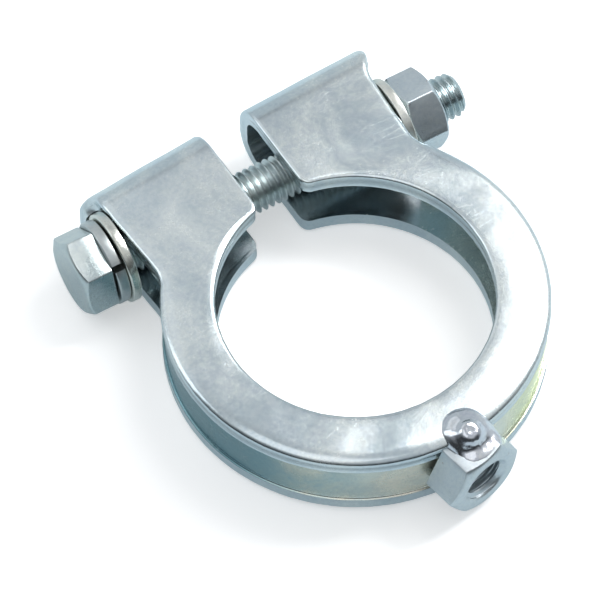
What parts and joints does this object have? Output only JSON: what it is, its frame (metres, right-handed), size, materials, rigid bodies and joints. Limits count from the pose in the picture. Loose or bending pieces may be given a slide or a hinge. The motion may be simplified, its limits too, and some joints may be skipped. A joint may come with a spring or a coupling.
{
  "type": "pipe clamp ring",
  "caption": "Zinc-plated steel channel clamp ring with two folded tunnel lugs, a cross bolt with nut and washers, and a welded bracket nut.",
  "frame": {"origin": "on the bore axis, half way between the two ring plates", "axes": "+Z along the bore axis; +Y from the bore towards the two lugs; +X along the bolt from its head to its nut"},
  "size_m": [0.0742, 0.0828, 0.018],
  "materials": {
    "pressed_zinc": "bright blue-clear zinc plating over pressed sheet",
    "band_zinc": "zinc plating with a blue-green tint in the recess",
    "nut_zinc": "satin blue-clear zinc plating",
    "weld_metal": "smooth plated weld metal",
    "bolt_zinc": "satin zinc plating on a rolled thread",
    "lock_washer_zinc": "dull zinc plating",
    "washer_zinc": "yellowish zinc plating"
  },
  "bodies": {
    "clamp": {"clamp_shell": "pressed_zinc", "web_band": "band_zinc", "weld_nut": "nut_zinc", "weld_bead": "weld_metal"},
    "bolt": {"hex_bolt": "bolt_zinc"},
    "lock_washer": {"spring_lock_washer": "lock_washer_zinc"},
    "head_washer": {"head_flat_washer": "washer_zinc"},
    "nut_washer": {"nut_flat_washer": "washer_zinc"},
    "nut": {"hex_nut": "nut_zinc"}
  },
  "joints": [
    {"name": "bolt_turn", "type": "hinge", "parent": "clamp", "child": "bolt", "pos_m": [0, 0.03025, 0], "axis": [1, 0, 0], "continuous": true},
    {"name": "lock_washer_turn", "type": "hinge", "parent": "clamp", "child": "lock_washer", "pos_m": [-0.0305, 0.03025, 0], "axis": [1, 0, 0], "continuous": true},
    {"name": "head_washer_turn", "type": "hinge", "parent": "clamp", "child": "head_washer", "pos_m": [-0.0285, 0.03025, 0], "axis": [1, 0, 0], "continuous": true},
    {"name": "nut_travel", "type": "slide", "parent": "clamp", "child": "nut_washer", "axis": [1, 0, 0], "range_m": [0, 0.004]},
    {"name": "nut_turn", "type": "hinge", "parent": "nut_washer", "child": "nut", "pos_m": [0.029, 0.03025, 0], "axis": [1, 0, 0], "range_deg": [0, 1152]}
  ],
  "couplings": [
    {"joint": "nut_turn", "follows": "nut_travel", "rad_per_m": 5026.5}
  ]
}
